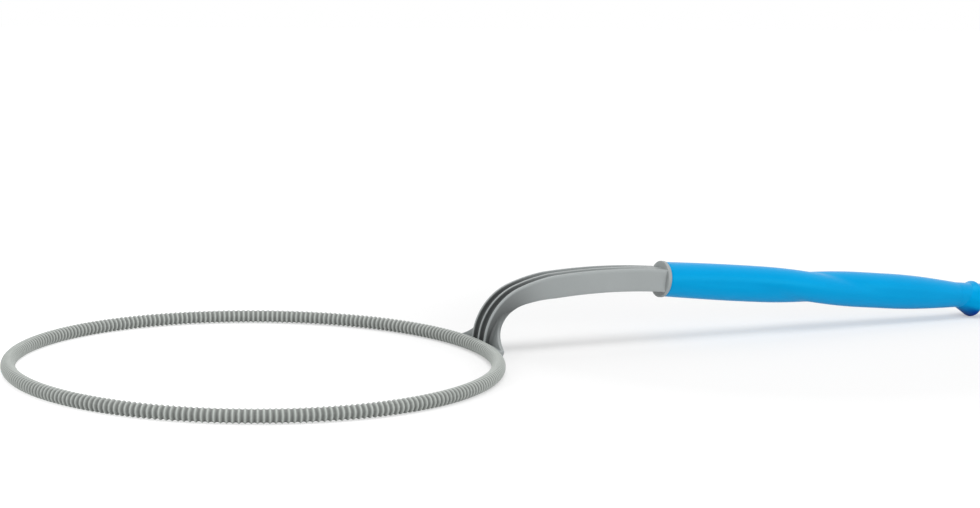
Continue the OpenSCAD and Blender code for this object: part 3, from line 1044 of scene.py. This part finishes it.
@dataclass
class PommelCap:
    """The cap that ends the grip: a round butt with a low-hung, hook-like rim."""

    layout: WandLayout
    back_slope: float = 27.0
    front_slope: float = 36.0
    shade_start: float = 5.9
    shade_len: float = 4.0
    neck_bevel: float = 0.05
    nose_bevel: float = 0.3
    dome_rows: int = 16
    crest_rows: int = 14
    sides: int = 96
    crease: float = 35.0

    def butt(self) -> Patch:
        """Round butt on the grip's own axis: a neck that domes over to a flat end."""
        lay = self.layout
        neck, nose = lay.neck_dia / 2, lay.nose_dia / 2
        dome = 3 * lay.nose_len / 8
        u = np.linspace(0.0, np.pi / 2, self.dome_rows)
        domed_r, domed_x = nose + (neck - nose) * np.cos(u), lay.nose_len - dome * (1 - np.sin(u))
        begin = lay.seam_gap - lay.neck_len
        radii = np.concatenate([[neck - self.neck_bevel, neck], domed_r, [nose - self.nose_bevel]])
        x = np.concatenate([[begin, begin + self.neck_bevel], domed_x, [lay.nose_len]])
        return Patch(lay.from_grip(revolve(radii, x, self.sides)))

    def rim(self) -> Patch:
        """Hook-like rim: a rounded crest between two cones, on an axis set lower.

        Its underside gets painted shade, darkest at the bottom and fading out over a few
        millimetres.
        """
        lay = self.layout
        back, front = math.radians(self.back_slope), math.radians(self.front_slope)
        ring, soft = lay.rim_ring_r, lay.rim_round
        a = np.linspace(-back, front, self.crest_rows)
        crest_r, crest_x = ring + soft * np.cos(a), soft * np.sin(a)
        back_x, front_x = soft - lay.neck_len, 3 * lay.nose_len / 4
        back_r = crest_r[0] - (crest_x[0] - back_x) * math.tan(back)
        front_r = crest_r[-1] - (front_x - crest_x[-1]) * math.tan(front)
        radii = np.concatenate([[back_r], crest_r, [front_r]])
        x = np.concatenate([[back_x], crest_x, [front_x]])
        points = revolve(radii, x, self.sides) - np.array([0.0, 0.0, lay.pommel_drop])
        # Painted shade on the rim's underside.
        under = smooth_step((-points[..., 2] - self.shade_start) / self.shade_len)
        return Patch(lay.from_grip(points), hollow=under)

    def build(self) -> Piece:
        """Make the pommel and dress it in the grip's blue plastic."""
        piece = make_piece("hook_rim_pommel", [self.butt(), self.rim()], self.crease)
        piece.data.materials.append(GRIP_BLUE.material())
        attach(piece, BODY)
        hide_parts("pommel_cap")
        return piece


@dataclass
class GripScrews:
    """The three pan-head screws, kept as the frame gives them and plated."""

    node: str = "grip_screws"

    def build(self) -> Piece:
        """Give the carried-over screws their steel."""
        screws = bpy.data.objects[self.node]
        screws.data.materials.clear()
        screws.data.materials.append(PlatedSteel().material())
        return screws


@dataclass(frozen=True)
class SoftBox:
    """A square soft lamp, with its place, aim and side in metres and its power in watts."""

    name: str
    place: Triple
    side: float
    power: float
    aim: Triple = (0.0, 0.0, 0.02)

    def hang(self) -> None:
        """Hang the lamp so that it faces its aim, the middle of the wand."""
        data = bpy.data.lights.new(self.name, "AREA")
        data.shape, data.size, data.energy = "SQUARE", self.side, self.power
        lamp = bpy.data.objects.new(self.name, data)
        lamp.location = self.place
        ahead = Vector(self.aim) - Vector(self.place)
        lamp.rotation_euler = ahead.to_track_quat("-Z", "Y").to_euler()
        bpy.context.scene.collection.objects.link(lamp)


SOFT_BOXES = (
    SoftBox("overhead_softbox", place=(0.1, -0.2, 1.9), side=1.3, power=16.5),
    SoftBox("front_softbox", place=(0.8, -1.9, 0.4), side=1.2, power=16.5),
    SoftBox("back_softbox", place=(0.3, 1.6, 1.4), side=1.4, power=7.0),
    SoftBox("left_softbox", place=(-1.5, -0.2, 0.6), side=0.8, power=5.5),
)


@dataclass
class Studio:
    """White studio: pale floor, soft light and the camera of the picture.

    The eye is in millimetres, the floor in metres and the turns in radians. The
    glow of the floor grows from its first value to its second over the glow
    span, a pair of distances in metres from the shade's centre.
    """

    eye: Triple = (-564.95, -1049.1, 235.4)
    heading: float = 0.4613
    pitch: float = 0.1510
    roll: float = 0.0256
    lens: float = 75.05
    sensor: float = 36.0
    clip: Pair = (0.05, 50.0)
    floor_size: float = 8.0
    floor_tone: Triple = (0.55, 0.55, 0.55)
    floor_roughness: float = 0.8
    gloss_glow: float = 0.15
    bounce_glow: float = 0.55
    shade_centre: Triple = (0.15, 0.0, 0.0)
    glow_span: Pair = (0.18, 0.85)
    glow: Pair = (0.405, 1.05)
    sky_light: float = 0.42

    def build(self) -> None:
        """Set up the floor, the world, the lamps, the view settings and the camera."""
        bpy.context.scene.view_settings.view_transform = "Standard"
        self.lay_floor()
        self.light_world()
        for lamp in SOFT_BOXES:
            lamp.hang()
        self.place_camera()

    def lay_floor(self) -> None:
        """Lay a wide pale floor that takes the wand's soft shadow.

        It glows in full to the camera and through glass, and by shares in gloss
        and in the light that it throws up. It is clear from below, so that the
        underside can be seen through it.
        """
        half = self.floor_size / 2
        mesh = bpy.data.meshes.new("studio_floor")
        corners = [(-half, -half, 0.0), (half, -half, 0.0), (half, half, 0.0), (-half, half, 0.0)]
        mesh.from_pydata(corners, [], [(0, 1, 2, 3)])
        floor = bpy.data.objects.new("studio_floor", mesh)
        bpy.context.scene.collection.objects.link(floor)
        material, make, shader = start_material("studio_floor_white")
        rays = make.add("ShaderNodeLightPath").outputs
        direct = make.math("ADD", rays["Is Camera Ray"], rays["Is Transmission Ray"])
        seen = make.math("MULTIPLY_ADD", rays["Is Glossy Ray"], self.gloss_glow, direct)
        bounce = make.math("MULTIPLY_ADD", rays["Is Diffuse Ray"], self.bounce_glow, seen)
        place = make.add("ShaderNodeTexCoord").outputs["Object"]
        ends = {0: place, 1: self.shade_centre}
        away = make.add("ShaderNodeVectorMath", ends, operation="DISTANCE").outputs["Value"]
        glow = make.spread(away, self.glow_span, self.glow)
        make.feed(shader, {
            "Base Color": opaque(self.floor_tone),
            "Roughness": self.floor_roughness,
            "Specular IOR Level": 0.0,
            "Emission Color": opaque(WHITE),
            "Emission Strength": make.math("MULTIPLY", bounce, glow),
        })
        back = make.add("ShaderNodeNewGeometry").outputs["Backfacing"]
        clear = make.add("ShaderNodeBsdfTransparent").outputs["BSDF"]
        shown = make.add("ShaderNodeMixShader", {0: back, 1: shader.outputs["BSDF"], 2: clear})
        out = material.node_tree.nodes["Material Output"]
        make.feed(out, {"Surface": shown.outputs["Shader"]})
        mesh.materials.append(material)

    def light_world(self) -> None:
        """Light the world softly, and show it white to the camera, in gloss and through glass."""
        world = bpy.data.worlds.new("studio_world")
        bpy.context.scene.world = world
        world.use_nodes = True
        make = ShaderBuilder(world.node_tree)
        rays = make.add("ShaderNodeLightPath").outputs
        direct = make.math("ADD", rays["Is Camera Ray"], rays["Is Glossy Ray"])
        seen = make.math("ADD", direct, rays["Is Transmission Ray"])
        make.feed(world.node_tree.nodes["Background"], {
            "Color": opaque(WHITE),
            "Strength": make.spread(seen, onto=(self.sky_light, 1.0)),
        })

    def place_camera(self) -> None:
        """Stand the camera at the picture's viewpoint.

        The view axis is (sin h cos p, cos h cos p, -sin p) for heading h and
        pitch p, and the frame is rolled about it.
        """
        h, p = self.heading, self.pitch
        ahead = Vector((math.sin(h) * math.cos(p), math.cos(h) * math.cos(p), -math.sin(p)))
        right = Vector((math.cos(h), -math.sin(h), 0.0))
        up = right.cross(ahead)
        across = right * math.cos(self.roll) + up * math.sin(self.roll)
        upward = up * math.cos(self.roll) - right * math.sin(self.roll)
        data = bpy.data.cameras.new("picture_camera")
        data.sensor_fit, data.sensor_width, data.lens = "HORIZONTAL", self.sensor, self.lens
        data.clip_start, data.clip_end = self.clip
        camera = bpy.data.objects.new("picture_camera", data)
        turn = Matrix((across, upward, -ahead)).transposed()
        camera.matrix_world = Matrix.Translation(Vector(self.eye) * MM) @ turn.to_4x4()
        bpy.context.scene.collection.objects.link(camera)
        bpy.context.scene.camera = camera


def main() -> None:
    """Build the studio and every piece in order, and report each piece."""
    logging.basicConfig(level=logging.INFO, format="%(name)s: %(message)s")
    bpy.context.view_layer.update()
    layout = WandLayout()
    path = ArmPath(layout)
    collar_x = (layout.rim_x - path.end[0]) / math.cos(layout.tilt)
    front = collar_x - layout.collar_t - layout.fit_gap
    assemblies = [
        WettingHoop(layout),
        FlutedArm(layout, path),
        GripShell(layout, Side.NEAR, front),
        GripShell(layout, Side.FAR, front),
        PommelCap(layout),
        GripScrews(),
    ]
    Studio().build()
    for assembly in assemblies:
        kind, piece = type(assembly).__name__, assembly.build()
        LOG.info("%s: %s with %d faces", kind, piece.name, len(piece.data.polygons))


if __name__ == "__main__":
    main()
